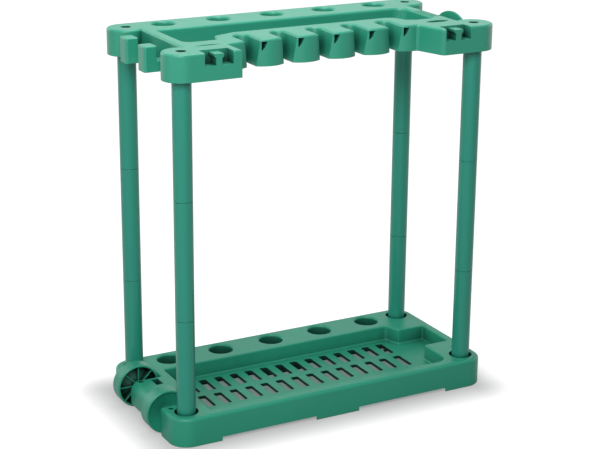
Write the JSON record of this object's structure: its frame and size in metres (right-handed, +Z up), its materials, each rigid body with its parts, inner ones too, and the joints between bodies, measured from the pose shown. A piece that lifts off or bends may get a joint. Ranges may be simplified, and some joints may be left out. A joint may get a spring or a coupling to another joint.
{
  "type": "garden tool rack",
  "caption": "Freestanding wheeled rack for long-handled garden tools: base tray with a grille floor and cups, tube posts, and a top tray with holes and clips.",
  "frame": {"origin": "on the floor under the middle of the whole rack, wheels included", "axes": "+Z up, +X along the rack away from the wheels, +Y to the back, where the row of five cups is"},
  "size_m": [0.6396, 0.291, 0.665],
  "materials": {
    "tray_plastic": "injection moulded, satin",
    "post_plastic": "extruded tube, satin",
    "wheel_plastic": "injection moulded, satin",
    "axle_steel": "zinc plated rod"
  },
  "bodies": {
    "rack": {"base_tray": "tray_plastic", "top_tray": "tray_plastic", "post_front_left_lower": "post_plastic", "post_front_left_middle": "post_plastic", "post_front_left_upper": "post_plastic", "post_front_right_lower": "post_plastic", "post_front_right_middle": "post_plastic", "post_front_right_upper": "post_plastic", "post_back_left_lower": "post_plastic", "post_back_left_middle": "post_plastic", "post_back_left_upper": "post_plastic", "post_back_right_lower": "post_plastic", "post_back_right_middle": "post_plastic", "post_back_right_upper": "post_plastic", "axle": "axle_steel"},
    "front_wheel": {"front_wheel": "wheel_plastic"},
    "rear_wheel": {"rear_wheel": "wheel_plastic"}
  },
  "joints": [
    {"name": "front_wheel_spin", "type": "hinge", "parent": "rack", "child": "front_wheel", "pos_m": [-0.28125, -0.062, 0.0395], "axis": [0, 1, 0], "continuous": true},
    {"name": "rear_wheel_spin", "type": "hinge", "parent": "rack", "child": "rear_wheel", "pos_m": [-0.28125, 0.062, 0.0395], "axis": [0, 1, 0], "continuous": true}
  ]
}
